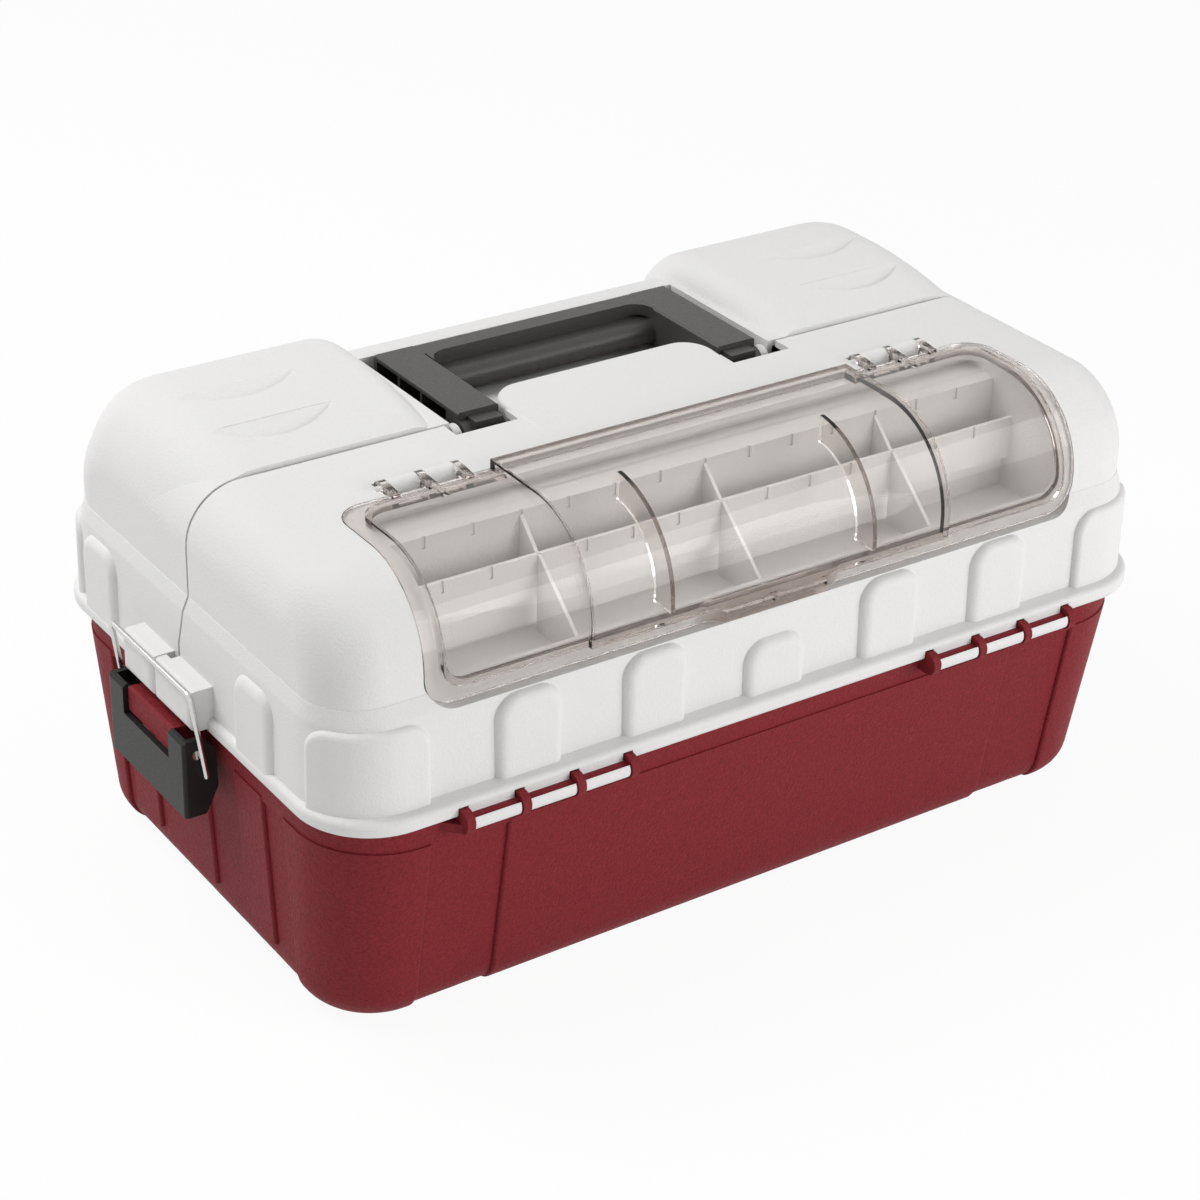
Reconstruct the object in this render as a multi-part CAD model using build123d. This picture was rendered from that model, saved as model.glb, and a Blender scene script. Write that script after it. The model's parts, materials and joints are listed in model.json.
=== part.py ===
from build123d import *
import os
from math import atan, atan2, cos, degrees, radians, sin, sqrt

# Hip-roof storage box: a tub, two covers that open to the front and to the rear,
# a clear lid over a bin tray, a folding handle, an end latch at each side and
# two trays that the covers lift out on links. Millimetres, +X along the front,
# +Y to the rear, +Z up, origin under the middle of the tub.

# Tub
TUB_HALF_LENGTH_TOP = 200.0
TUB_HALF_DEPTH_TOP = 120.5
TUB_END_DRAFT = 6.0
TUB_SIDE_DRAFT = 14.5
TUB_HALF_LENGTH_FOOT = TUB_HALF_LENGTH_TOP - TUB_END_DRAFT
TUB_HALF_DEPTH_FOOT = TUB_HALF_DEPTH_TOP - TUB_SIDE_DRAFT
TUB_CORNER_TOP = 34.0
TUB_CORNER_FOOT = 30.0
TUB_FOOT_RADIUS = 17.0
TUB_WALL = 2.8
TUB_FLOOR = 3.0
RIM_Z = 100.4
BAND_HEIGHT = 13.0
BAND_PROUD = 1.0
FIELD_PROUD = 1.6
FIELD_ROUND = 1.4
FIELD_FOOT_Z = 2.5
FIELD_TOP_Z = RIM_Z - 11.0
FLUTE_WIDTH = 34.5
FLUTE_OUTER_X = TUB_HALF_LENGTH_FOOT - TUB_CORNER_FOOT - 2.5
FLUTE_INNER_X = FLUTE_OUTER_X - FLUTE_WIDTH
CORNER_FIELD_Y = TUB_HALF_DEPTH_FOOT - TUB_CORNER_FOOT - 2.0
END_BAND_MIDDLE_Y = 4.0
END_BAND_PITCH = 50.0
END_BAND_WIDTH = 23.0
END_BAND_FOOT_Z = 18.0

# Covers
COVER_GAP = 0.4
COVER_FOOT_Z = RIM_Z + COVER_GAP
COVER_TOP = COVER_FOOT_Z + 95.2
COVER_HALF_LENGTH = TUB_HALF_LENGTH_TOP
COVER_HALF_DEPTH = TUB_HALF_DEPTH_TOP - 8.5
COVER_WALL = 3.0
SHOULDER_RADIUS = 38.0
END_SHOULDER_RADIUS = 24.0
CROWN_UNDERLAP = 2.0
SEAM_GAP = 1.3
SEAM_STEP_Y = 6.4
SEAM_STEP_LOW = COVER_FOOT_Z + 26.2
SEAM_STEP_HIGH = COVER_FOOT_Z + 49.2

# Skirt, flange and pads under the covers' crease
CREASE_Z = COVER_FOOT_Z + 49.7
SKIRT_TOP_Z = CREASE_Z - 7.0
SKIRT_ROUND = 6.0
SKIRT_SIDE_TOP = 4.0
SKIRT_SIDE_FOOT = 5.0
SKIRT_END_TOP = 1.8
SKIRT_END_FOOT = 2.2
SKIRT_CREASE_STEP = 0.2
FLANGE_HEIGHT = 6.8
FLANGE_HALF_LENGTH = TUB_HALF_LENGTH_TOP + 5.0
FLANGE_HALF_DEPTH = TUB_HALF_DEPTH_TOP + 4.8
FLANGE_CORNER = 33.0
FLANGE_ROUND = 2.4
PAD_WIDTH = 30.0
PAD_PITCH = 58.5
PAD_SIDE_OUT = 3.2
PAD_END_OUT = 2.4
PAD_REACH = 12.0
PAD_TOP_Z = COVER_FOOT_Z + 41.7
SHORT_PAD_TOP_Z = COVER_FOOT_Z + 30.2
PAD_ROUND = 4.5
PAD_CORNER = 10.0
CORNER_PAD_X = COVER_HALF_LENGTH - 39.0
CORNER_PAD_Y = COVER_HALF_DEPTH - 17.0
CORNER_PAD_ROUND = 2.6
FRONT_END_PAD_Y = -57.0
REAR_END_PAD_Y = 76.0
END_PAD_TOP_Z = COVER_FOOT_Z + 40.2

# Cover hinges
HINGE_Y = FLANGE_HALF_DEPTH + 1.2
HINGE_Z = RIM_Z - 0.4
HINGE_ROD_RADIUS = 2.3
HINGE_DISC_RADIUS = 5.0
HINGE_DISC_WIDTH = 3.6
HINGE_DISC_PITCH = 25.0
HINGE_FIRST_DISC_X = 76.0
HINGE_DISC_COUNT = 4
HINGE_CLEARANCE = 0.06
BUTTRESS_LENGTH = 10.0
BUTTRESS_HEIGHT = 4.0
CLIP_WALL = 1.9
CLIP_END_GAP = 0.5
CLIP_MOUTH_FRONT = 35.0
CLIP_MOUTH_REAR = 115.0

# Shoulder blocks of the rear cover and their finger scoops
BLOCK_TOP = COVER_TOP + 10.0
BLOCK_INNER_ROUND = 14.0
BLOCK_END_ROUND = 33.0
BLOCK_FRONT_Z = COVER_TOP + 1.5
BLOCK_RAMP_Y = 62.0
SCOOP_X = COVER_HALF_LENGTH - 53.0
SCOOP_REAR_Y = (29.0, 60.0)
SCOOP_LENGTH = 56.0
SCOOP_WIDTH = 13.0
SCOOP_DEPTH = 2.8
SCOOP_WALL = 2.0

# Handle, its well and its pins
HANDLE_HALF_WIDTH = 75.0
HANDLE_ARM_WIDTH = 19.5
HANDLE_REAR_Y = 70.0
HANDLE_TOP_Z = COVER_TOP + 2.0
HANDLE_HEIGHT = 17.5
HANDLE_FOOT_Z = HANDLE_TOP_Z - HANDLE_HEIGHT
HANDLE_GRIP_DEPTH = 21.0
HANDLE_GRIP_TOP = 9.5
HANDLE_BAR_RADIUS = 5.6
HANDLE_CORNER = 9.0
HANDLE_CORNER_DEPTH = 5.0
HANDLE_EDGE = 1.2
HANDLE_PIVOT_Y = 3.0
HANDLE_PIVOT_Z = HANDLE_TOP_Z - 10.5
HANDLE_END_RADIUS = 7.0
HANDLE_PIN_RADIUS = 2.5
HANDLE_WEB = 2.2
HANDLE_RIB = 1.6
HANDLE_RIB_PITCH = 18.0
HANDLE_CHANNEL_DEPTH = 13.0
WELL_FLOOR_Z = HANDLE_FOOT_Z - 2.5
WELL_HALF_WIDTH = HANDLE_HALF_WIDTH + 5.5
WELL_REAR_Y = HANDLE_REAR_Y + 3.5
WELL_WALL = 2.5
WELL_RIM_DROP = 1.0
BLOCK_INNER_X = WELL_HALF_WIDTH + WELL_WALL
TONGUE_FRONT_Y = -9.5
TONGUE_GAP = 0.8
PAD_TONGUE_HALF = HANDLE_HALF_WIDTH - HANDLE_ARM_WIDTH - 2.0
PAD_TONGUE_REAR_Y = 17.0
PAD_TONGUE_RISE = 2.6
PAD_TONGUE_CORNER = 14.0
PAD_TONGUE_ROUND = 2.4
PAD_TONGUE_FRONT_Y = -36.0
PAD_TONGUE_DIP = 0.8
CHEEK_WIDTH = 3.6
CHEEK_RADIUS = 6.0
PIN_CLEARANCE = 0.06
SIDE_GAP = 0.8

# Clear lid over the bins
LID_HALF_WIDTH = COVER_HALF_LENGTH - 40.0
LID_REAR_Y = -COVER_HALF_DEPTH + 69.0
LID_FOOT_Z = COVER_FOOT_Z + 42.7
LID_CORNER = 13.0
LID_INNER_CORNER = 9.5
LID_RIM = 7.0
LID_WALL = 2.0
LID_RISE = 2.2
LID_MIDDLE_RISE = 2.2
LID_MIDDLE_HALF = 88.5
LID_GAP = 0.4
LID_LEDGE = 2.4
LID_RIB_X = 50.0
LID_RIB_WIDTH = 2.0
LID_RIB_DEPTH = 9.0
PULL_HALF_LENGTH = 34.0
PULL_TAPER = 9.0
PULL_HEIGHT = 7.0
PULL_OUT = 5.0
PULL_SLOT = 1.8
PULL_SLOT_DEPTH = 3.6
PULL_WEB = 2.0
PULL_Z = LID_FOOT_Z + 4.0
LID_AXIS_Y = LID_REAR_Y + 7.0
LID_AXIS_Z = COVER_TOP - 0.8
LID_HINGE_X = 116.7
LID_HINGE_HALF = 18.5
LID_PIN_RADIUS = 2.0
LID_HOOK_RADIUS = 3.9
LID_HOOK_WIDTH = 3.0
LID_FIN_REACH = 24.0
LID_SHORT_FIN_REACH = 11.5
HINGE_POCKET_FRONT = 7.5
HINGE_POCKET_REAR = 5.0
HINGE_POCKET_DEPTH = 9.0

# Bin tray under the lid
BIN_WALL = 1.8
BIN_GAP = 0.05
BIN_HALF_LENGTH = LID_HALF_WIDTH - 5.0
BIN_REAR_Y = LID_REAR_Y - 2.0
BIN_MIDDLE_Y = -COVER_HALF_DEPTH + 34.0
BIN_MIDDLE_TOP = COVER_TOP - 22.0
BIN_REAR_STEP_Y = BIN_REAR_Y - 19.5
BIN_REAR_STEP_Z = COVER_TOP - 9.0
BIN_REAR_FLOOR_Z = COVER_TOP - 39.0
BIN_FRONT_FLOOR_Z = LID_FOOT_Z - 3.0
BIN_FRONT_WALL_Z = LID_FOOT_Z + 7.5
BIN_SET_BACK = 4.0
BIN_DIVIDER_X = (-88.0, 0.0, 88.0)
SLOT_PITCH = 22.0
SLOT_DEPTH = 0.8
SLOT_LENGTH = 5.0

# End latches
LATCH_Y = 8.0
LEVER_HALF_WIDTH = 33.0
LEVER_OUT_X = FLANGE_HALF_LENGTH + 12.5
LEVER_IN_X = TUB_HALF_LENGTH_TOP + 2.6
LEVER_TOP_Z = RIM_Z + 1.1
LEVER_FOOT_Z = LEVER_TOP_Z - 35.0
LEVER_WALL = 2.6
LEVER_EDGE = 1.6
LEVER_TOP_CHAMFER = 1.4
LEVER_FOOT_CHAMFER = 5.7
LEVER_PIVOT_X = LEVER_OUT_X - 6.0
LEVER_PIVOT_Z = LEVER_TOP_Z - 7.0
LEVER_PIN_RADIUS = 2.0
LEVER_NOTCH_HALF = 20.0
LEVER_NOTCH_DEPTH = 13.0
BOSS_GAP = 0.7
BOSS_SET_BACK = 2.1
LUG_OUT_X = FLANGE_HALF_LENGTH + 7.5
LUG_STEP_X = FLANGE_HALF_LENGTH + 1.0
LUG_FOOT_Z = COVER_FOOT_Z + 2.5
LUG_TOP_Z = LUG_FOOT_Z + 18.2
LUG_FRONT_Y = LATCH_Y - 30.3
LUG_SPLIT_Y = LATCH_Y + 2.1
LUG_REAR_Y = LATCH_Y + 29.5
LUG_SPLIT_GAP = 0.8
LUG_ROUND = 3.4
LUG_ROOT_LAP = 2.0
WIRE_RADIUS = 1.2
WIRE_BEND = 3.0
WIRE_FOOT_BEND = 1.44
BAIL_HALF_WIDTH = LEVER_HALF_WIDTH + 1.7
BAIL_PIVOT_X = LEVER_PIVOT_X - 3.0
BAIL_PIVOT_Z = LEVER_PIVOT_Z - 10.5
BAIL_BAR_X = LUG_OUT_X + 1.7
BAIL_BAR_Z = LUG_TOP_Z + 1.5

# Lift-out trays on links
TRAY_PIVOT_Y = HINGE_Y - 60.0
TRAY_PIVOT_Z = HINGE_Z + 19.0
TRAY_FRONT_Y = TRAY_PIVOT_Y + 11.5
TRAY_BACK_Y = 6.0
TRAY_HALF_LENGTH = TUB_HALF_LENGTH_TOP - 15.0
TRAY_RIM_Z = TRAY_PIVOT_Z + 6.5
TRAY_FLOOR_Z = TRAY_RIM_Z - 41.5
TRAY_WALL = 2.0
TRAY_CORNER = 6.0
LINK_REACH_Y = 48.0
LINK_DROP_Z = 26.0
LINK_IN_X = TRAY_HALF_LENGTH + 2.0
LINK_THICKNESS = 2.0
LINK_HALF_WIDTH = 5.5
LINK_PIN_RADIUS = 2.0
LINK_HEAD_RADIUS = 4.0
LINK_HEAD_THICKNESS = 1.0
LINK_BOSS_RADIUS = 5.0
LINK_GAP = 0.4
TRAY_DIVIDER_X = (-110.0, -30.0, 60.0)
TRAY_DIVIDER_DROP = 8.0
DIVIDER_THICKNESS = 1.6

# Beyond every piece, for cutting shapes, and how near counts as the same place
TOP_LIMIT_Z = COVER_TOP + 64.0
FAR = 2 * TUB_HALF_LENGTH_TOP
SAME_PLACE = 0.01
UPRIGHT_SHARE = 0.2


def block(x0, x1, y0, y1, z0, z1):
    """A box given by its two corners."""
    size = (abs(x1 - x0), abs(y1 - y0), abs(z1 - z0))
    centre = ((x0 + x1) / 2, (y0 + y1) / 2, (z0 + z1) / 2)
    return Pos(*centre) * Box(*size)


def rod(x0, x1, y, z, radius):
    """A round bar along X."""
    return Pos((x0 + x1) / 2, y, z) * Rot(0, 90, 0) * Cylinder(radius, abs(x1 - x0))


def cross_rod(y0, y1, x, z, radius):
    """A round bar along Y."""
    return Pos(x, (y0 + y1) / 2, z) * Rot(90, 0, 0) * Cylinder(radius, abs(y1 - y0))


def along_x(points, x0, x1):
    """A prism along X whose outline is given as (y, z) points."""
    outline = Polyline(*[(x0, y, z) for y, z in points], close=True)
    return extrude(make_face(outline), amount=x1 - x0, dir=(1, 0, 0))


def along_y(points, y0, y1):
    """A prism along Y whose outline is given as (x, z) points."""
    outline = Polyline(*[(x, y0, z) for x, z in points], close=True)
    return extrude(make_face(outline), amount=y1 - y0, dir=(0, 1, 0))


def rounded_slice(half_length, half_depth, corner, z):
    return Pos(0, 0, z) * RectangleRounded(2 * half_length, 2 * half_depth, corner)


def mirror_x(shape):
    return mirror(shape, about=Plane.YZ)


def mirror_y(shape):
    return mirror(shape, about=Plane.XZ)


# Tub

def tub_slice(z, grow):
    share = z / RIM_Z
    half_length = TUB_HALF_LENGTH_FOOT + (TUB_HALF_LENGTH_TOP - TUB_HALF_LENGTH_FOOT) * share
    half_depth = TUB_HALF_DEPTH_FOOT + (TUB_HALF_DEPTH_TOP - TUB_HALF_DEPTH_FOOT) * share
    corner = TUB_CORNER_FOOT + (TUB_CORNER_TOP - TUB_CORNER_FOOT) * share
    return rounded_slice(half_length + grow, half_depth + grow, corner + grow, z)


def tub_body(z0, z1, grow):
    return loft([tub_slice(z0, grow), tub_slice(z1, grow)])


def foot_rounded(body, radius):
    return fillet(body.faces().sort_by(Axis.Z)[0].edges(), radius)


def hinge_disc(x):
    """One wall of a cover hinge, with the web that holds it to the tub."""
    x0 = x - HINGE_DISC_WIDTH / 2
    x1 = x + HINGE_DISC_WIDTH / 2
    wall_y = -TUB_HALF_DEPTH_TOP + TUB_WALL / 2
    disc = rod(x0, x1, -HINGE_Y, HINGE_Z, HINGE_DISC_RADIUS)
    return disc + block(x0, x1, -HINGE_Y, wall_y, HINGE_Z - HINGE_DISC_RADIUS, HINGE_Z)


def hinge_disc_places():
    return [HINGE_FIRST_DISC_X + i * HINGE_DISC_PITCH for i in range(HINGE_DISC_COUNT)]


def hinge_walls():
    """The discs and the rod of one cover hinge, at the right of the front."""
    places = hinge_disc_places()
    walls = rod(places[0], places[-1], -HINGE_Y, HINGE_Z, HINGE_ROD_RADIUS)
    for x in places:
        walls = walls + hinge_disc(x)
    return walls + hinge_buttress()


def hinge_buttress():
    """The wedge outside the last wall of the right front hinge."""
    x0 = hinge_disc_places()[-1]
    wall_y = -TUB_HALF_DEPTH_TOP + TUB_WALL / 2
    wedge = Polyline(
        (x0, wall_y), (x0, -HINGE_Y - HINGE_ROD_RADIUS), (x0 + BUTTRESS_LENGTH, wall_y), close=True)
    return extrude(Pos(0, 0, HINGE_Z - HINGE_DISC_RADIUS) * make_face(wedge), BUTTRESS_HEIGHT)


def latch_boss():
    """The block on the right end wall that carries the lever's pin."""
    half = LEVER_NOTCH_HALF - BOSS_GAP
    reach = LEVER_OUT_X - BOSS_SET_BACK
    foot = LEVER_TOP_Z - LEVER_NOTCH_DEPTH + 2 * BOSS_GAP
    wall_x = TUB_HALF_LENGTH_TOP - TUB_WALL
    outline = [
        (wall_x, foot - LEVER_NOTCH_DEPTH),
        (reach, foot),
        (reach, LEVER_TOP_Z - 2 * BOSS_GAP),
        (reach - 2 * BOSS_GAP, LEVER_TOP_Z - BOSS_GAP),
        (wall_x, LEVER_TOP_Z - 3 * BOSS_GAP),
    ]
    body = along_y(outline, LATCH_Y - half, LATCH_Y + half)
    hole = cross_rod(LATCH_Y - half, LATCH_Y + half, LEVER_PIVOT_X, LEVER_PIVOT_Z, LEVER_PIN_RADIUS)
    return body - hole


def link_anchor():
    """Where the right front link turns on the tub."""
    return (-HINGE_Y + LINK_REACH_Y, HINGE_Z - LINK_DROP_Z)


def link_boss():
    y, z = link_anchor()
    start = LINK_IN_X + LINK_THICKNESS + LINK_GAP
    boss = rod(start, TUB_HALF_LENGTH_TOP - TUB_WALL, y, z, LINK_BOSS_RADIUS)
    return boss - rod(start, TUB_HALF_LENGTH_TOP, y, z, LINK_PIN_RADIUS)


def upright(edge):
    return abs(edge.tangent_at(0.5).Z) > UPRIGHT_SHARE


def round_sides(field, axis):
    """Rounds the upright outer edges of a field whose side faces look along the axis."""
    sides = field.faces().sort_by(axis)
    edges = sides[0].edges() + sides[-1].edges()
    return fillet([edge for edge in edges if upright(edge)], FIELD_ROUND)


def corner_field(proud):
    """The raised field that wraps one corner, with its upright outer edges rounded."""
    field = proud & block(FLUTE_OUTER_X, FAR, CORNER_FIELD_Y, FAR, FIELD_FOOT_Z, RIM_Z)
    inner_edge = FLUTE_OUTER_X + CORNER_FIELD_Y + FIELD_ROUND
    edges = []
    for axis in (Axis.X, Axis.Y):
        for edge in field.faces().sort_by(axis)[0].edges():
            if upright(edge) and edge.center().X + edge.center().Y > inner_edge:
                edges.append(edge)
    return fillet(edges, FIELD_ROUND)


def raised_fields():
    """The raised fields of the walls, which leave flutes between them: long sides, corners and end bands."""
    proud = foot_rounded(tub_body(0, FIELD_TOP_Z, FIELD_PROUD), TUB_FOOT_RADIUS)
    middle = proud & block(-FLUTE_INNER_X, FLUTE_INNER_X, -FAR, FAR, FIELD_FOOT_Z, RIM_Z)
    corners = corner_field(proud)
    corners = corners + mirror_x(corners)
    fields = round_sides(middle, Axis.X) + corners + mirror_y(corners)
    half = END_BAND_WIDTH / 2
    for i in (-1, 0, 1):
        y = END_BAND_MIDDLE_Y + i * END_BAND_PITCH
        band = proud & block(-FAR, FAR, y - half, y + half, END_BAND_FOOT_Z, RIM_Z)
        fields = fields + round_sides(band, Axis.Y)
    return fields


def make_base_tub():
    outer = foot_rounded(tub_body(0, RIM_Z, 0), TUB_FOOT_RADIUS)
    band = tub_body(RIM_Z - BAND_HEIGHT, RIM_Z, BAND_PROUD)
    cavity = tub_body(TUB_FLOOR, RIM_Z + TUB_FLOOR, -TUB_WALL)
    cavity = foot_rounded(cavity, TUB_FOOT_RADIUS - TUB_WALL)
    shell = outer + band + raised_fields() - cavity
    boss = latch_boss()
    anchor = link_boss()
    hinge = hinge_walls()
    for part in (hinge, mirror_y(hinge), anchor, mirror_y(anchor)):
        shell = shell + part + mirror_x(part)
    return shell + boss + mirror_x(boss)


# Covers

def side_outline(half_depth, foot, top, shoulder):
    """A cover's section across the box, with rounded shoulders."""
    edge = Line((half_depth, foot), (half_depth, top - shoulder))
    edge += RadiusArc((half_depth, top - shoulder), (half_depth - shoulder, top), -shoulder)
    edge += Line((half_depth - shoulder, top), (shoulder - half_depth, top))
    edge += RadiusArc((shoulder - half_depth, top), (-half_depth, top - shoulder), -shoulder)
    edge += Line((-half_depth, top - shoulder), (-half_depth, foot))
    edge += Line((-half_depth, foot), (half_depth, foot))
    return make_face(edge)


def drawn_along_x(face, x0, x1):
    """A face drawn in (y, z), stood up at x0 and extruded to x1."""
    stood = Plane(origin=(x0, 0, 0), x_dir=(0, 1, 0), z_dir=(1, 0, 0)) * face
    return extrude(stood, amount=x1 - x0, dir=(1, 0, 0))


def end_edges(body, x, foot):
    """The edges round the end face at x, without the one along the foot."""
    edges = []
    for edge in body.edges():
        box = edge.bounding_box()
        flat = abs(box.min.X - x) < SAME_PLACE and abs(box.max.X - x) < SAME_PLACE
        if flat and box.max.Z > foot + CROWN_UNDERLAP / 2:
            edges.append(edge)
    return edges


def crown(grow):
    """The outer form of both covers together, grown outwards by a distance."""
    half_length = COVER_HALF_LENGTH + grow
    foot = COVER_FOOT_Z - CROWN_UNDERLAP
    outline = side_outline(COVER_HALF_DEPTH + grow, foot, COVER_TOP + grow, SHOULDER_RADIUS + grow)
    body = drawn_along_x(outline, -half_length, half_length)
    edges = end_edges(body, half_length, foot) + end_edges(body, -half_length, foot)
    return fillet(edges, END_SHOULDER_RADIUS + grow)


def skirt_slice(z, side, end):
    return rounded_slice(COVER_HALF_LENGTH + end, COVER_HALF_DEPTH + side, END_SHOULDER_RADIUS + side, z)


def skirt_wall(side_grow, end_grow):
    """The upright part of the covers' lower wall, grown outwards at the sides and at the ends."""
    foot = skirt_slice(COVER_FOOT_Z, SKIRT_SIDE_FOOT + side_grow, SKIRT_END_FOOT + end_grow)
    top = skirt_slice(SKIRT_TOP_Z, SKIRT_SIDE_TOP + side_grow, SKIRT_END_TOP + end_grow)
    return loft([foot, top])


def skirt():
    """The stepped-out lower wall of both covers, up to the crease."""
    top = skirt_slice(SKIRT_TOP_Z, SKIRT_SIDE_TOP, SKIRT_END_TOP)
    crease = skirt_slice(CREASE_Z, SKIRT_CREASE_STEP, SKIRT_CREASE_STEP)
    body = skirt_wall(0, 0) + loft([top, crease])
    bend = [edge for edge in body.edges() if abs(edge.center().Z - SKIRT_TOP_Z) < SKIRT_CREASE_STEP]
    return fillet(bend, SKIRT_ROUND)


def flange():
    ring = extrude(
        rounded_slice(FLANGE_HALF_LENGTH, FLANGE_HALF_DEPTH, FLANGE_CORNER, COVER_FOOT_Z), FLANGE_HEIGHT)
    edges = ring.edges().group_by(Axis.Z)
    return fillet(edges[-1] + edges[0], FLANGE_ROUND)


def wall_pad(top_z):
    """A raised pad with a rounded top that stands on the flange, facing -Y, with its face at y = 0."""
    foot_z = COVER_FOOT_Z + FLANGE_ROUND
    body = block(-PAD_WIDTH / 2, PAD_WIDTH / 2, 0, PAD_REACH, foot_z, top_z)
    body = fillet(body.edges().filter_by(Axis.Y).group_by(Axis.Z)[-1], PAD_CORNER)
    face = body.faces().sort_by(Axis.Y)[0]
    rim = [edge for edge in face.edges() if edge.center().Z > foot_z + FLANGE_ROUND]
    return fillet(rim, PAD_ROUND)


def front_pads():
    face_y = -COVER_HALF_DEPTH - SKIRT_SIDE_FOOT - PAD_SIDE_OUT
    pads = Pos(0, face_y, 0) * wall_pad(SHORT_PAD_TOP_Z)
    tall = wall_pad(PAD_TOP_Z)
    for i in (-2, -1, 1, 2):
        pads = pads + Pos(i * PAD_PITCH, face_y, 0) * tall
    return pads


def end_pads():
    """The pads of the right end wall."""
    face_x = COVER_HALF_LENGTH + SKIRT_END_FOOT + PAD_END_OUT
    pad = Rot(0, 0, 90) * wall_pad(END_PAD_TOP_Z)
    return Pos(face_x, FRONT_END_PAD_Y, 0) * pad + Pos(face_x, REAR_END_PAD_Y, 0) * pad


def beside_corner_pad(point):
    """Whether a point lies on one of the two planes that bound the corner pad."""
    return min(point.X - CORNER_PAD_X, point.Y - CORNER_PAD_Y) < SKIRT_CREASE_STEP


def on_corner_rim(point):
    """Whether a point of the corner pad lies on the outer rim of its sides and top."""
    outside = point.Y > COVER_HALF_DEPTH + SKIRT_END_TOP or point.X > COVER_HALF_LENGTH
    return outside and (beside_corner_pad(point) or point.Z > PAD_TOP_Z - PAD_CORNER)


def corner_pads():
    """The swellings that wrap the four corners of the skirt."""
    pad = skirt_wall(PAD_SIDE_OUT, PAD_END_OUT) & block(
        CORNER_PAD_X, FAR, CORNER_PAD_Y, FAR, COVER_FOOT_Z + FLANGE_ROUND, PAD_TOP_Z)
    top_edges = pad.faces().sort_by(Axis.Z)[-1].edges()
    pad = fillet([edge for edge in top_edges if beside_corner_pad(edge.center())], PAD_CORNER)
    pad = fillet([edge for edge in pad.edges() if on_corner_rim(edge.center())], CORNER_PAD_ROUND)
    pad = pad + mirror_x(pad)
    return pad + mirror_y(pad)


def seam_side(sign):
    """The space of one cover: -1 is the front one, 1 the rear one."""
    gap = sign * SEAM_GAP / 2
    return along_x([
        (sign * FAR, 0),
        (SEAM_STEP_Y + gap, 0),
        (SEAM_STEP_Y + gap, SEAM_STEP_LOW),
        (gap, SEAM_STEP_HIGH),
        (gap, TOP_LIMIT_Z),
        (sign * FAR, TOP_LIMIT_Z),
    ], -FAR, FAR)


def clip_mouth(angle):
    """A point far out from the hinge's axis, at an angle up from the front."""
    far = HINGE_DISC_RADIUS * 2
    return (-HINGE_Y - far * cos(radians(angle)), HINGE_Z + far * sin(radians(angle)))


def clip_fingers():
    """The fingers of the front cover that hook under the rod of the right front hinge, open at the top."""
    fingers = None
    places = hinge_disc_places()
    half = HINGE_DISC_WIDTH / 2 + CLIP_END_GAP
    bore_radius = HINGE_ROD_RADIUS + HINGE_CLEARANCE
    for x0, x1 in zip(places[:-1], places[1:]):
        finger = rod(x0 + half, x1 - half, -HINGE_Y, HINGE_Z, bore_radius + CLIP_WALL)
        fingers = finger if fingers is None else fingers + finger
    middle = (CLIP_MOUTH_FRONT + CLIP_MOUTH_REAR) / 2
    mouth = along_x([
        (-HINGE_Y, HINGE_Z), clip_mouth(CLIP_MOUTH_FRONT), clip_mouth(middle), clip_mouth(CLIP_MOUTH_REAR),
    ], places[0], places[-1])
    return fingers - mouth - rod(places[0], places[-1], -HINGE_Y, HINGE_Z, bore_radius)


def hinge_relief():
    """Room in the front cover's flange for the discs and the rod, at the right."""
    places = hinge_disc_places()
    room = HINGE_DISC_RADIUS + CLIP_END_GAP
    half = HINGE_DISC_WIDTH / 2 + CLIP_END_GAP
    relief = rod(places[0], places[-1], -HINGE_Y, HINGE_Z, HINGE_ROD_RADIUS + CLIP_END_GAP)
    for x in places:
        relief = relief + rod(x - half, x + half, -HINGE_Y, HINGE_Z, room)
    return relief


def tray_boss():
    """The boss inside the front cover's right end that carries the tray's pivot."""
    start = LINK_IN_X + LINK_THICKNESS + LINK_GAP
    boss = rod(start, COVER_HALF_LENGTH - COVER_WALL / 2, -TRAY_PIVOT_Y, TRAY_PIVOT_Z, LINK_BOSS_RADIUS)
    return boss - rod(start, COVER_HALF_LENGTH - COVER_WALL, -TRAY_PIVOT_Y, TRAY_PIVOT_Z, LINK_PIN_RADIUS)


def lug(y0, y1, root_y0, root_y1):
    """A lug of the right latch: the outer block and its root on the cover's wall."""
    outer = block(LUG_STEP_X, LUG_OUT_X, y0, y1, LUG_FOOT_Z, LUG_TOP_Z)
    edges = outer.faces().sort_by(Axis.X)[-1].edges()
    outer = fillet(edges, LUG_ROUND)
    root_x = COVER_HALF_LENGTH - COVER_WALL / 2
    return outer + block(root_x, LUG_STEP_X + LUG_ROOT_LAP, root_y0, root_y1, LUG_FOOT_Z, LUG_TOP_Z)


def cover_shell():
    """Both covers as one hollow crown, before they are parted at the seam."""
    lower = block(-FAR, FAR, -FAR, FAR, COVER_FOOT_Z, TOP_LIMIT_Z)
    outer = (crown(0) & lower) + skirt() + flange() + corner_pads()
    pads = front_pads()
    outer = outer + pads + mirror_y(pads)
    pads = end_pads()
    outer = outer + pads + mirror_x(pads)
    return outer - crown(-COVER_WALL)


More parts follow.
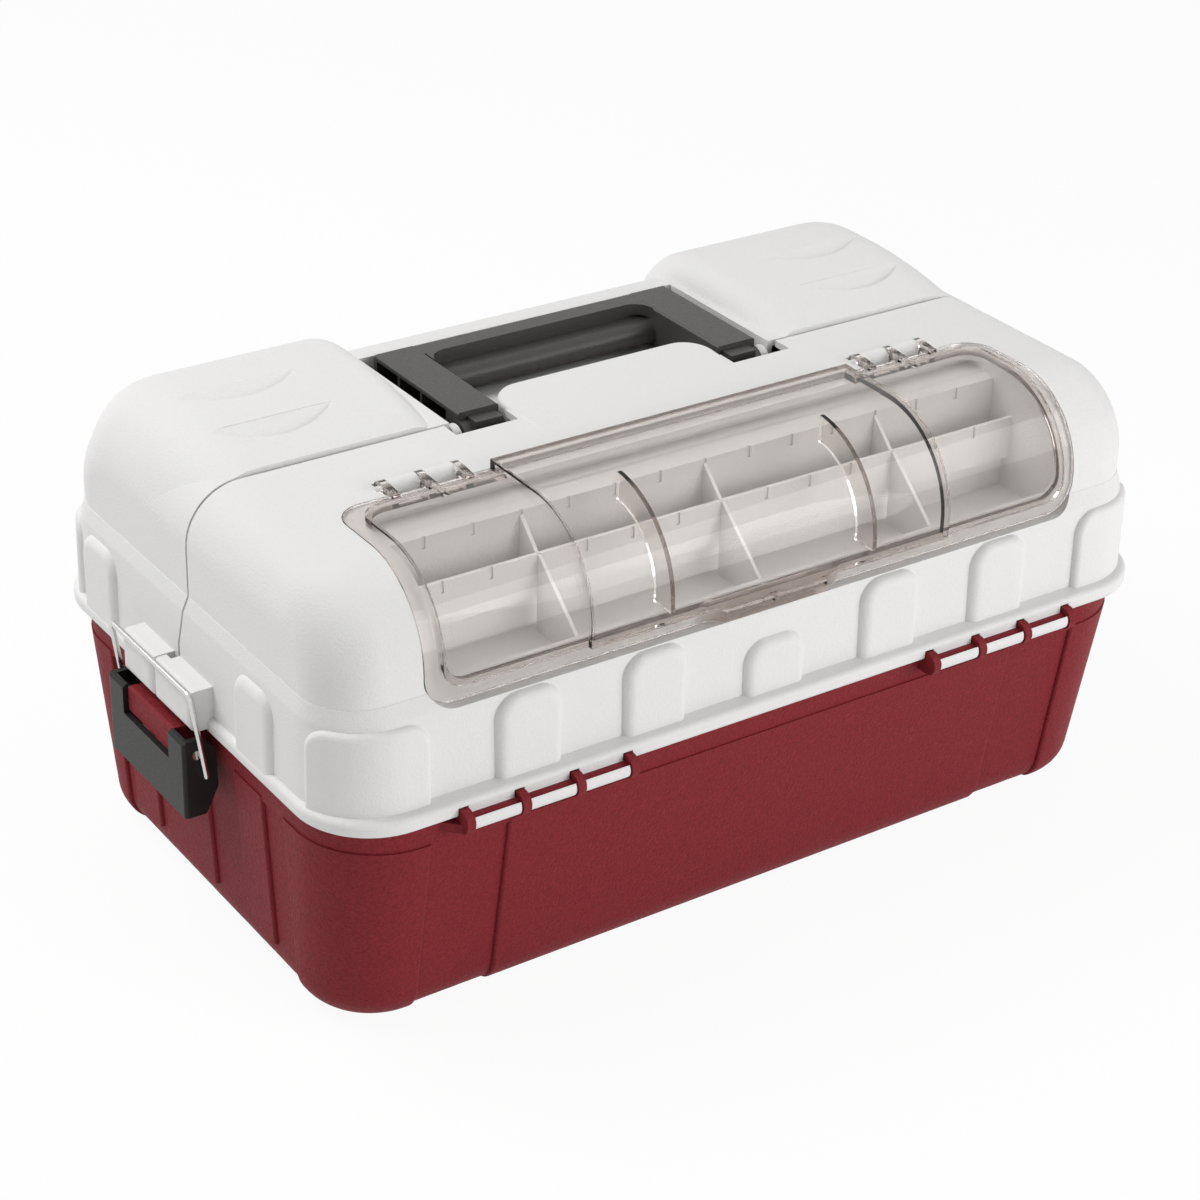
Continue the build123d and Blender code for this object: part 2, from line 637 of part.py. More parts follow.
def lid_area(inset):
    """The space of the clear lid seen from the front and from the top, drawn in by an inset."""
    half = LID_HALF_WIDTH - inset
    rear = LID_REAR_Y - inset
    foot = LID_FOOT_Z + inset
    corner = LID_INNER_CORNER if inset > 0 else LID_CORNER
    space = block(-half, half, -FAR, rear, foot, TOP_LIMIT_Z)
    space = fillet(rear_corners(space), corner)
    foot_edges = space.edges().filter_by(Axis.Y).group_by(Axis.Z)[0]
    return fillet(foot_edges, corner)


def lid_hinge_pocket():
    """The pocket in the cover's top for the right lid hinge."""
    return block(
        LID_HINGE_X - LID_HINGE_HALF, LID_HINGE_X + LID_HINGE_HALF,
        LID_AXIS_Y - HINGE_POCKET_FRONT, LID_AXIS_Y + HINGE_POCKET_REAR,
        LID_AXIS_Z - HINGE_POCKET_DEPTH / 2, TOP_LIMIT_Z)


def lid_hinge_seat():
    """The walls round that pocket and the pin that crosses it."""
    wall = COVER_WALL
    seat = block(
        LID_HINGE_X - LID_HINGE_HALF - wall, LID_HINGE_X + LID_HINGE_HALF + wall,
        LID_AXIS_Y - HINGE_POCKET_FRONT, LID_AXIS_Y + HINGE_POCKET_REAR + wall,
        LID_AXIS_Z - HINGE_POCKET_DEPTH / 2 - wall, COVER_TOP)
    return seat - lid_hinge_pocket()


def lid_hook_places():
    reach = LID_HINGE_HALF - LID_HOOK_WIDTH / 2 - LID_GAP
    return [LID_HINGE_X - reach, LID_HINGE_X, LID_HINGE_X + reach]


def lid_pins():
    """The right lid hinge's pin, thicker between the hooks."""
    half = LID_HINGE_HALF + COVER_WALL / 2
    pin = rod(LID_HINGE_X - half, LID_HINGE_X + half, LID_AXIS_Y, LID_AXIS_Z, LID_PIN_RADIUS)
    places = lid_hook_places()
    room = LID_HOOK_WIDTH / 2 + LID_GAP
    for x0, x1 in zip(places[:-1], places[1:]):
        pin = pin + rod(x0 + room, x1 - room, LID_AXIS_Y, LID_AXIS_Z, LID_HOOK_RADIUS)
    return pin


def rear_corners(body):
    """The upright edges at the rear of a block."""
    return body.edges().filter_by(Axis.Z).group_by(Axis.Y)[-1]


def make_front_cover():
    cover = cover_shell() & seam_side(-1)
    # The pad that fills the handle's loop
    rear = PAD_TONGUE_REAR_Y
    tongue = along_x([
        (PAD_TONGUE_FRONT_Y, WELL_FLOOR_Z - WELL_WALL),
        (rear, WELL_FLOOR_Z - WELL_WALL),
        (rear, COVER_TOP + PAD_TONGUE_RISE),
        (PAD_TONGUE_FRONT_Y, COVER_TOP - PAD_TONGUE_DIP),
    ], -PAD_TONGUE_HALF, PAD_TONGUE_HALF)
    tongue = fillet(rear_corners(tongue), PAD_TONGUE_CORNER)
    tongue = fillet(tongue.faces().sort_by(Axis.Z)[-1].edges(), PAD_TONGUE_ROUND)
    hollow = block(
        -PAD_TONGUE_HALF + COVER_WALL, PAD_TONGUE_HALF - COVER_WALL, -FAR, rear - COVER_WALL,
        0, COVER_TOP - COVER_WALL + PAD_TONGUE_RISE / 2)
    hollow = fillet(rear_corners(hollow), PAD_TONGUE_CORNER - COVER_WALL)
    # Clearance round the rear cover's tongues, which carry the handle
    for sign in (-1, 1):
        cover = cover - block(
            sign * (PAD_TONGUE_HALF + TONGUE_GAP), sign * (WELL_HALF_WIDTH + WELL_WALL + TONGUE_GAP),
            TONGUE_FRONT_Y - TONGUE_GAP, FAR, WELL_FLOOR_Z - WELL_WALL - TONGUE_GAP, TOP_LIMIT_Z)
    cover = cover + (tongue - hollow)
    # The seat of the lid: a ledge under it and its hinges, then the opening
    ledge = (crown(-LID_LEDGE) - crown(-LID_LEDGE - COVER_WALL)) & lid_area(-COVER_WALL)
    seat = lid_hinge_seat()
    cover = cover + seat + mirror_x(seat)
    cover = cover - ((crown(PULL_OUT + LID_GAP) - crown(-LID_LEDGE)) & lid_area(-LID_GAP))
    cover = cover + ledge
    cover = cover - lid_area(LID_RIM)
    pocket = lid_hinge_pocket()
    pins = lid_pins()
    for side in (lambda s: s, mirror_x):
        cover = cover - side(pocket) + side(pins)
    relief = hinge_relief()
    fingers = clip_fingers()
    boss = tray_boss()
    lugs = lug(LUG_FRONT_Y, LUG_SPLIT_Y - LUG_SPLIT_GAP / 2, LUG_FRONT_Y, SEAM_STEP_Y - SEAM_GAP / 2)
    for side in (lambda s: s, mirror_x):
        cover = cover - side(relief) + side(fingers) + side(boss) + side(lugs)
    return cover


def shoulder_block(grow):
    """The right shoulder block of the rear cover, grown outwards by a distance."""
    foot = COVER_TOP - SHOULDER_RADIUS
    top = BLOCK_TOP + grow
    rear = COVER_HALF_DEPTH + grow
    shoulder = SHOULDER_RADIUS + grow
    ramp_radius = (BLOCK_RAMP_Y ** 2 / (BLOCK_TOP - BLOCK_FRONT_Z)) / 2
    front = -SHOULDER_RADIUS
    drop = (BLOCK_RAMP_Y - front) ** 2 / ramp_radius / 2
    edge = Line((rear, foot), (rear, top - shoulder))
    edge += RadiusArc((rear, top - shoulder), (rear - shoulder, top), -shoulder)
    edge += Line((rear - shoulder, top), (BLOCK_RAMP_Y, top))
    front_slope = 2 * drop / (BLOCK_RAMP_Y - front)
    edge += Spline((BLOCK_RAMP_Y, top), (front, top - drop), tangents=((-1, 0), (-1, -front_slope)))
    edge += Line((front, top - drop), (front, foot))
    edge += Line((front, foot), (rear, foot))
    x0 = BLOCK_INNER_X - grow
    x1 = COVER_HALF_LENGTH + grow
    body = drawn_along_x(make_face(edge), x0, x1)
    body = fillet(end_edges(body, x1, foot), BLOCK_END_ROUND + grow)
    return fillet(end_edges(body, x0, foot), BLOCK_INNER_ROUND + grow)


def scoop(rear_y, grow):
    """A finger scoop across the right block's top: flush at the rear, deepest along its front arc."""
    rise = BLOCK_TOP - BLOCK_FRONT_Z
    ahead = BLOCK_RAMP_Y - rear_y
    surface = BLOCK_TOP - rise * (ahead / BLOCK_RAMP_Y) ** 2
    slope = 2 * rise * ahead / BLOCK_RAMP_Y ** 2
    half = SCOOP_LENGTH / 2 + grow
    outline = ThreePointArc((-half, 0), (0, -SCOOP_WIDTH - grow), (half, 0)) + Line((half, 0), (-half, 0))
    tilt = degrees(atan2(SCOOP_DEPTH, SCOOP_WIDTH) + atan(slope))
    return Pos(SCOOP_X, rear_y, surface - grow) * Rot(tilt, 0, 0) * extrude(make_face(outline), SCOOP_WIDTH)


def make_rear_cover():
    cover = cover_shell() & seam_side(1)
    side = seam_side(1)
    room = crown(-COVER_WALL)
    hollow = shoulder_block(-COVER_WALL)
    blocks = (shoulder_block(0) & side) - (hollow + room)
    for y in SCOOP_REAR_Y:
        blocks = blocks + (scoop(y, SCOOP_WALL) & hollow) - scoop(y, 0)
    for turn in (lambda s: s, mirror_x):
        cover = cover - turn(hollow) + turn(blocks)
    # The handle's well: a floor with walls, and tongues past the seam that carry the pivots
    half = WELL_HALF_WIDTH
    pocket = block(-half, half, TONGUE_FRONT_Y, WELL_REAR_Y, WELL_FLOOR_Z, TOP_LIMIT_Z)
    walls = block(
        -half - WELL_WALL, half + WELL_WALL, SEAM_GAP / 2, WELL_REAR_Y + WELL_WALL,
        WELL_FLOOR_Z - WELL_WALL, COVER_TOP - WELL_RIM_DROP)
    tongues = block(
        PAD_TONGUE_HALF + 2 * TONGUE_GAP, half + WELL_WALL, TONGUE_FRONT_Y, SEAM_GAP,
        WELL_FLOOR_Z - WELL_WALL, WELL_FLOOR_Z)
    cover = cover + walls
    cover = cover - pocket
    cover = cover + tongues + mirror_x(tongues)
    # The front cover's pad stands in a notch of the floor, so that either cover opens by itself
    notch = block(
        -PAD_TONGUE_HALF - TONGUE_GAP, PAD_TONGUE_HALF + TONGUE_GAP, -FAR, PAD_TONGUE_REAR_Y + TONGUE_GAP,
        WELL_FLOOR_Z - 2 * WELL_WALL, TOP_LIMIT_Z)
    cover = cover - fillet(rear_corners(notch), PAD_TONGUE_CORNER + TONGUE_GAP)
    cheek_x = HANDLE_HALF_WIDTH + SIDE_GAP
    cheek = rod(cheek_x, cheek_x + CHEEK_WIDTH, HANDLE_PIVOT_Y, HANDLE_PIVOT_Z, CHEEK_RADIUS)
    cheek = cheek + block(
        cheek_x, cheek_x + CHEEK_WIDTH, HANDLE_PIVOT_Y - CHEEK_RADIUS, HANDLE_PIVOT_Y + CHEEK_RADIUS,
        WELL_FLOOR_Z - WELL_WALL / 2, HANDLE_PIVOT_Z)
    cheek = cheek - rod(cheek_x, cheek_x + CHEEK_WIDTH, HANDLE_PIVOT_Y, HANDLE_PIVOT_Z, HANDLE_PIN_RADIUS)
    relief = mirror_y(hinge_relief())
    fingers = mirror_y(clip_fingers())
    boss = mirror_y(tray_boss())
    lugs = lug(LUG_SPLIT_Y + LUG_SPLIT_GAP / 2, LUG_REAR_Y, LUG_SPLIT_Y + LUG_SPLIT_GAP / 2, LUG_REAR_Y)
    for turn in (lambda s: s, mirror_x):
        cover = cover - turn(relief) + turn(fingers) + turn(boss) + turn(lugs) + turn(cheek)
    return cover


# Clear lid and bins

def lid_hook(x, reach):
    """A hook of the lid that rides on the pin at x, with a fin that reaches on to the lid."""
    x0 = x - LID_HOOK_WIDTH / 2
    x1 = x + LID_HOOK_WIDTH / 2
    ring = rod(x0, x1, LID_AXIS_Y, LID_AXIS_Z, LID_HOOK_RADIUS)
    lid_top = COVER_TOP + LID_RISE
    fin = along_x([
        (LID_AXIS_Y, LID_AXIS_Z + LID_HOOK_RADIUS),
        (LID_AXIS_Y - LID_HOOK_RADIUS, LID_AXIS_Z + LID_HOOK_RADIUS),
        (LID_AXIS_Y - reach, lid_top),
        (LID_AXIS_Y - reach, lid_top - LID_WALL / 2),
        (LID_REAR_Y - LID_RIM, COVER_TOP - LID_WALL),
        (LID_AXIS_Y, LID_AXIS_Z),
    ], x0, x1)
    return ring + fin - rod(x0, x1, LID_AXIS_Y, LID_AXIS_Z, LID_PIN_RADIUS + HINGE_CLEARANCE)


def finger_pull():
    """The boat-shaped grip along the lid's lower edge: two rails joined at the ends and in the middle."""
    face_y = -COVER_HALF_DEPTH
    out_y = face_y - PULL_OUT
    half = PULL_HALF_LENGTH
    straight = half - PULL_TAPER
    hull = Polyline(
        (-half, face_y), (-straight, out_y), (straight, out_y), (half, face_y),
        (straight, face_y + LID_WALL), (-straight, face_y + LID_WALL), close=True)
    grip = extrude(Pos(0, 0, PULL_Z - PULL_HEIGHT / 2) * make_face(hull), PULL_HEIGHT)
    for sign in (-1, 1):
        grip = grip - block(
            sign * PULL_WEB / 2, sign * straight, out_y, out_y + PULL_SLOT_DEPTH,
            PULL_Z - PULL_SLOT / 2, PULL_Z + PULL_SLOT / 2)
    return grip


def lid_rib(x):
    """A curved stiffening plate under the lid's shoulder."""
    skin = LID_RISE + LID_MIDDLE_RISE - LID_WALL / 2
    half = LID_RIB_WIDTH / 2
    plate = (crown(skin) - crown(-LID_RIB_DEPTH)) & lid_area(LID_RIM + 2 * LID_WALL)
    return plate & block(x - half, x + half, -FAR, -2 * SHOULDER_RADIUS, 0, TOP_LIMIT_Z)


def lid_middle_area(foot_inset, rear_inset):
    """The space of the lid's raised middle, which has a rim at the foot and none at the rear."""
    return block(-FAR, FAR, -FAR, LID_REAR_Y - rear_inset, LID_FOOT_Z + foot_inset, TOP_LIMIT_Z)


def make_window_lid():
    middle_rise = LID_RISE + LID_MIDDLE_RISE
    strip = block(-LID_MIDDLE_HALF, LID_MIDDLE_HALF, -FAR, 0, 0, TOP_LIMIT_Z)
    inner_half = LID_MIDDLE_HALF - LID_WALL
    inner_strip = block(-inner_half, inner_half, -FAR, 0, 0, TOP_LIMIT_Z)
    raised = crown(LID_RISE) & lid_area(LID_RIM)
    raised_middle = crown(middle_rise) & lid_middle_area(LID_RIM, 0) & strip
    under = crown(LID_RISE - LID_WALL) & lid_area(LID_RIM + LID_WALL)
    under_middle = crown(middle_rise - LID_WALL) & lid_middle_area(LID_RIM + LID_WALL, LID_WALL)
    under_middle = under_middle & inner_strip
    lid = (crown(0) & lid_area(0)) + raised + raised_middle
    lid = lid - crown(-LID_WALL) - under - under_middle
    lid = lid + finger_pull()
    lid = lid + lid_rib(-LID_RIB_X) + lid_rib(LID_RIB_X)
    pocket = lid_hinge_pocket()
    for turn in (lambda s: s, mirror_x):
        lid = lid - (turn(pocket) & block(-FAR, FAR, LID_AXIS_Y - HINGE_POCKET_FRONT, FAR, 0, TOP_LIMIT_Z))
        reaches = (LID_SHORT_FIN_REACH, LID_FIN_REACH, LID_SHORT_FIN_REACH)
        for x, reach in zip(lid_hook_places(), reaches):
            lid = lid + turn(lid_hook(x, reach))
    return lid


def bin_slots():
    """Upright slots for dividers at the tops of the rear row's back wall and of the middle wall."""
    slots = None
    half = DIVIDER_THICKNESS / 2
    count = int((BIN_HALF_LENGTH - BIN_WALL) / SLOT_PITCH)
    for i in range(-count, count + 1):
        x = i * SLOT_PITCH
        for y, top in ((BIN_REAR_STEP_Y, BIN_REAR_STEP_Z), (BIN_MIDDLE_Y, BIN_MIDDLE_TOP)):
            slot = block(x - half, x + half, y, y + SLOT_DEPTH, top - SLOT_LENGTH, top)
            slots = slot if slots is None else slots + slot
    return slots


def make_bin_tray():
    half = BIN_HALF_LENGTH
    room = half - BIN_WALL
    front_y = -COVER_HALF_DEPTH
    under_z = BIN_REAR_FLOOR_Z - BIN_WALL
    back_y = BIN_MIDDLE_Y + BIN_SET_BACK
    wall_y = front_y + LID_LEDGE + COVER_WALL + BIN_WALL
    tray = block(-half, half, front_y, BIN_REAR_Y, BIN_FRONT_FLOOR_Z - BIN_WALL, TOP_LIMIT_Z)
    tray = tray & crown(-LID_LEDGE - COVER_WALL - BIN_GAP)
    # Below the rear row there is only the front row's back wall
    tray = tray - block(-FAR, FAR, back_y + BIN_WALL, FAR, 0, under_z)
    tray = tray - block(-room, room, wall_y, back_y, BIN_FRONT_FLOOR_Z, under_z)
    # The rear row and the shelf behind it
    tray = tray - block(-room, room, BIN_MIDDLE_Y + BIN_WALL, BIN_REAR_STEP_Y, BIN_REAR_FLOOR_Z, TOP_LIMIT_Z)
    tray = tray - block(-room, room, BIN_REAR_STEP_Y, BIN_REAR_Y - BIN_WALL, BIN_REAR_STEP_Z, TOP_LIMIT_Z)
    tray = tray - block(
        -room, room, BIN_REAR_STEP_Y + BIN_WALL, BIN_REAR_Y - BIN_WALL, 0, BIN_REAR_STEP_Z - BIN_WALL)
    # The front row, its low front wall and the top of the middle wall
    tray = tray - block(-room, room, wall_y, BIN_MIDDLE_Y, BIN_FRONT_FLOOR_Z, TOP_LIMIT_Z)
    tray = tray - block(-room, room, -FAR, BIN_MIDDLE_Y, BIN_FRONT_WALL_Z, TOP_LIMIT_Z)
    tray = tray - block(-room, room, -FAR, BIN_REAR_STEP_Y, BIN_MIDDLE_TOP, TOP_LIMIT_Z)
    return tray - bin_slots()


def make_bin_dividers():
    """Loose plates across the two rows of bins, with sloping tops under the lid."""
    plates = None
    half = DIVIDER_THICKNESS / 2
    wall_y = -COVER_HALF_DEPTH + LID_LEDGE + COVER_WALL + BIN_WALL
    rear = [
        (BIN_MIDDLE_Y + BIN_WALL, BIN_REAR_FLOOR_Z),
        (BIN_REAR_STEP_Y, BIN_REAR_FLOOR_Z),
        (BIN_REAR_STEP_Y, BIN_REAR_STEP_Z - BIN_WALL),
        (BIN_MIDDLE_Y + BIN_WALL, BIN_MIDDLE_TOP),
    ]
    front = [
        (wall_y, BIN_FRONT_FLOOR_Z),
        (BIN_MIDDLE_Y, BIN_FRONT_FLOOR_Z),
        (BIN_MIDDLE_Y, BIN_MIDDLE_TOP),
        (wall_y, BIN_FRONT_WALL_Z),
    ]
    for x in BIN_DIVIDER_X:
        pair = along_x(rear, x - half, x + half) + along_x(front, x - half, x + half)
        plates = pair if plates is None else plates + pair
    return plates


# Handle

def handle_arm():
    """The right arm, with a rounded end and a stop at the pivot."""
    x1 = HANDLE_HALF_WIDTH
    x0 = x1 - HANDLE_ARM_WIDTH
    body = block(x0, x1, HANDLE_PIVOT_Y, HANDLE_REAR_Y, HANDLE_FOOT_Z, HANDLE_TOP_Z)
    body = fillet(body.edges().filter_by(Axis.Y).group_by(Axis.Z)[-1], HANDLE_EDGE)
    nose = rod(x0, x1, HANDLE_PIVOT_Y, HANDLE_PIVOT_Z, HANDLE_END_RADIUS)
    stop = block(
        x0 + HANDLE_WEB, x1 - 2 * HANDLE_WEB, HANDLE_PIVOT_Y - HANDLE_END_RADIUS, HANDLE_PIVOT_Y,
        HANDLE_PIVOT_Z, HANDLE_TOP_Z - HANDLE_WEB)
    return body + nose + stop


def handle_channel():
    """The open channel in the right arm's outer face, with two thin ribs left in it."""
    x1 = HANDLE_HALF_WIDTH
    x0 = x1 - HANDLE_CHANNEL_DEPTH
    y0 = HANDLE_PIVOT_Y + HANDLE_END_RADIUS + HANDLE_WEB
    y1 = HANDLE_REAR_Y - HANDLE_WEB
    room = block(x0, x1, y0, y1, HANDLE_FOOT_Z + HANDLE_WEB, HANDLE_TOP_Z - HANDLE_WEB)
    for i in (1, 2):
        y = y1 - i * HANDLE_RIB_PITCH
        room = room - block(x0, x1, y - HANDLE_RIB / 2, y + HANDLE_RIB / 2, 0, TOP_LIMIT_Z)
    return room


def grip_outline():
    """The grip's section: a flat top, a groove and a round bar along the front."""
    rear = HANDLE_REAR_Y
    top = HANDLE_TOP_Z
    foot = HANDLE_FOOT_Z
    bar = HANDLE_BAR_RADIUS
    bar_y = rear - HANDLE_GRIP_DEPTH + bar
    ledge = rear - HANDLE_GRIP_TOP
    groove = (ledge, foot + 2 * bar)
    edge = Line((rear, foot), (rear, top - HANDLE_EDGE))
    edge += RadiusArc((rear, top - HANDLE_EDGE), (rear - HANDLE_EDGE, top), -HANDLE_EDGE)
    edge += Line((rear - HANDLE_EDGE, top), (ledge, top))
    edge += Line((ledge, top), groove)
    edge += Line(groove, (bar_y, foot + 2 * bar))
    edge += ThreePointArc((bar_y, foot + 2 * bar), (bar_y - bar, foot + bar), (bar_y, foot))
    edge += Line((bar_y, foot), (rear, foot))
    return make_face(edge)


def handle_corner():
    """The rounded inner corner between the right arm's top and the grip's."""
    x = HANDLE_HALF_WIDTH - HANDLE_ARM_WIDTH
    y = HANDLE_REAR_Y - HANDLE_GRIP_TOP
    r = HANDLE_CORNER
    corner = block(x - r, x, y - r, y, HANDLE_TOP_Z - HANDLE_CORNER_DEPTH, HANDLE_TOP_Z)
    return corner - Pos(x - r, y - r, HANDLE_TOP_Z) * Cylinder(r, 4 * HANDLE_CORNER_DEPTH)


def make_handle():
    inner = HANDLE_HALF_WIDTH - HANDLE_ARM_WIDTH
    handle = drawn_along_x(grip_outline(), -inner - HANDLE_WEB, inner + HANDLE_WEB)
    arm = handle_arm()
    corner = handle_corner()
    channel = handle_channel()
    for turn in (lambda s: s, mirror_x):
        handle = handle + turn(arm) + turn(corner) - turn(channel)
    bore = rod(-FAR, FAR, HANDLE_PIVOT_Y, HANDLE_PIVOT_Z, HANDLE_PIN_RADIUS + PIN_CLEARANCE)
    return handle - bore


def make_handle_pins():
    inner = HANDLE_HALF_WIDTH - HANDLE_ARM_WIDTH
    outer = HANDLE_HALF_WIDTH + SIDE_GAP + CHEEK_WIDTH
    pin = rod(inner, outer, HANDLE_PIVOT_Y, HANDLE_PIVOT_Z, HANDLE_PIN_RADIUS)
    return pin + mirror_x(pin)


# Latches, made for the right end

def make_latch_lever():
    y0 = LATCH_Y - LEVER_HALF_WIDTH
    y1 = LATCH_Y + LEVER_HALF_WIDTH
    cheek = [
        (LEVER_OUT_X, LEVER_FOOT_Z),
        (LEVER_OUT_X, LEVER_TOP_Z - LEVER_TOP_CHAMFER),
        (LEVER_OUT_X - LEVER_TOP_CHAMFER, LEVER_TOP_Z),
        (LEVER_PIVOT_X - LEVER_WALL, LEVER_TOP_Z),
        (LEVER_IN_X + BOSS_GAP, LEVER_PIVOT_Z + BOSS_GAP),
        (LEVER_IN_X, LEVER_FOOT_Z + 2 * LEVER_FOOT_CHAMFER),
        (LEVER_IN_X + LEVER_FOOT_CHAMFER, LEVER_FOOT_Z),
    ]
    body = along_y(cheek, y0, y1)
    body = fillet(body.edges().filter_by(Axis.Z).group_by(Axis.X)[-1], LEVER_EDGE)
    room = block(
        0, LEVER_OUT_X - LEVER_WALL, y0 + LEVER_WALL, y1 - LEVER_WALL, LEVER_FOOT_Z + LEVER_WALL, FAR)
    notch = block(
        0, FAR, LATCH_Y - LEVER_NOTCH_HALF, LATCH_Y + LEVER_NOTCH_HALF, LEVER_TOP_Z - LEVER_NOTCH_DEPTH, FAR)
    pin_bore = cross_rod(y0, y1, LEVER_PIVOT_X, LEVER_PIVOT_Z, LEVER_PIN_RADIUS + PIN_CLEARANCE)
    wire_bore = cross_rod(y0, y1, BAIL_PIVOT_X, BAIL_PIVOT_Z, WIRE_RADIUS + PIN_CLEARANCE)
    return body - room - notch - pin_bore - wire_bore


def make_latch_pin():
    half = LEVER_HALF_WIDTH
    return cross_rod(LATCH_Y - half, LATCH_Y + half, LEVER_PIVOT_X, LEVER_PIVOT_Z, LEVER_PIN_RADIUS)


def make_latch_bail():
    """The wire loop: two feet in the lever's sides, two legs and the bar."""
    lean_x = BAIL_BAR_X - BAIL_PIVOT_X
    foot = LEVER_HALF_WIDTH - LEVER_WALL
    points = [
        (BAIL_PIVOT_X, LATCH_Y - foot, BAIL_PIVOT_Z),
        (BAIL_PIVOT_X, LATCH_Y - BAIL_HALF_WIDTH, BAIL_PIVOT_Z),
        (BAIL_PIVOT_X + lean_x, LATCH_Y - BAIL_HALF_WIDTH, BAIL_BAR_Z),
        (BAIL_PIVOT_X + lean_x, LATCH_Y + BAIL_HALF_WIDTH, BAIL_BAR_Z),
        (BAIL_PIVOT_X, LATCH_Y + BAIL_HALF_WIDTH, BAIL_PIVOT_Z),
        (BAIL_PIVOT_X, LATCH_Y + foot, BAIL_PIVOT_Z),
    ]
    bends = [WIRE_FOOT_BEND, WIRE_BEND, WIRE_BEND, WIRE_FOOT_BEND]
    path = FilletPolyline(*points, radius=bends)
    section = Plane(origin=points[0], z_dir=(0, -1, 0)) * Circle(WIRE_RADIUS)
    return sweep(section, path=path)


# Trays and links, made for the front

def tray_joint():
    """Where the right front link meets the tray."""
    return (-TRAY_PIVOT_Y + LINK_REACH_Y, TRAY_PIVOT_Z - LINK_DROP_Z)


def make_tray():
    half = TRAY_HALF_LENGTH
    outer = block(-half, half, -TRAY_FRONT_Y, -TRAY_BACK_Y, TRAY_FLOOR_Z, TRAY_RIM_Z)
    outer = fillet(outer.edges().filter_by(Axis.Z), TRAY_CORNER)
    room = block(
        -half + TRAY_WALL, half - TRAY_WALL, -TRAY_FRONT_Y + TRAY_WALL, -TRAY_BACK_Y - TRAY_WALL,
        TRAY_FLOOR_Z + TRAY_WALL, FAR)
    room = fillet(room.edges().filter_by(Axis.Z), TRAY_CORNER - TRAY_WALL)
    tray = outer - room
    bore_radius = LINK_PIN_RADIUS + PIN_CLEARANCE
    pivot = rod(-FAR, FAR, -TRAY_PIVOT_Y, TRAY_PIVOT_Z, bore_radius)
    y, z = tray_joint()
    return tray - pivot - rod(-FAR, FAR, y, z, LINK_PIN_RADIUS)


def make_tray_dividers():
    plates = None
    half = DIVIDER_THICKNESS / 2
    for x in TRAY_DIVIDER_X:
        plate = block(
            x - half, x + half, -TRAY_FRONT_Y + TRAY_WALL, -TRAY_BACK_Y - TRAY_WALL,
            TRAY_FLOOR_Z + TRAY_WALL, TRAY_RIM_Z - TRAY_DIVIDER_DROP)
        plates = plate if plates is None else plates + plate
    return plates


def make_tray_pivots():
    """The pins in the cover that the tray turns on, one at each end."""
    head = LINK_THICKNESS
    inner = TRAY_HALF_LENGTH - TRAY_WALL - LINK_GAP
    outer = COVER_HALF_LENGTH - COVER_WALL
    pin = rod(inner, outer, -TRAY_PIVOT_Y, TRAY_PIVOT_Z, LINK_PIN_RADIUS)
    pin = pin + rod(inner - head, inner, -TRAY_PIVOT_Y, TRAY_PIVOT_Z, LINK_HEAD_RADIUS)
    return pin + mirror_x(pin)


def make_link():
    """The right link, a flat bar with round ends from the tub to the tray."""
    y0, z0 = link_anchor()
    y1, z1 = tray_joint()
    x0 = LINK_IN_X
    x1 = LINK_IN_X + LINK_THICKNESS
    length = sqrt((y1 - y0) ** 2 + (z1 - z0) ** 2)
    across = ((z0 - z1) / length * LINK_HALF_WIDTH, (y1 - y0) / length * LINK_HALF_WIDTH)
    bar = along_x([
        (y0 + across[0], z0 + across[1]), (y0 - across[0], z0 - across[1]),
        (y1 - across[0], z1 - across[1]), (y1 + across[0], z1 + across[1])], x0, x1)
    bar = bar + rod(x0, x1, y0, z0, LINK_HALF_WIDTH) + rod(x0, x1, y1, z1, LINK_HALF_WIDTH)
    bore_radius = LINK_PIN_RADIUS + PIN_CLEARANCE
    return bar - rod(0, FAR, y0, z0, bore_radius) - rod(0, FAR, y1, z1, bore_radius)


def make_link_anchors():
    """The rivets in the tub's end walls that the links turn on."""
    y, z = link_anchor()
    inner = LINK_IN_X - LINK_GAP
    outer = TUB_HALF_LENGTH_TOP - 2 * TUB_WALL
    rivet = rod(inner, outer, y, z, LINK_PIN_RADIUS)
    rivet = rivet + rod(inner - LINK_HEAD_THICKNESS, inner, y, z, LINK_HEAD_RADIUS)
    return rivet + mirror_x(rivet)


def make_link_rivets():
    """The rivets in the tray's end walls that the links carry."""
    y, z = tray_joint()
    inner = TRAY_HALF_LENGTH - TRAY_WALL
    outer = LINK_IN_X + LINK_THICKNESS + LINK_GAP / 2
    rivet = rod(inner, outer, y, z, LINK_PIN_RADIUS)
    return rivet + mirror_x(rivet)


def save(shape, name):
    shape.label = name
    export_step(shape, "parts/" + name + ".step")


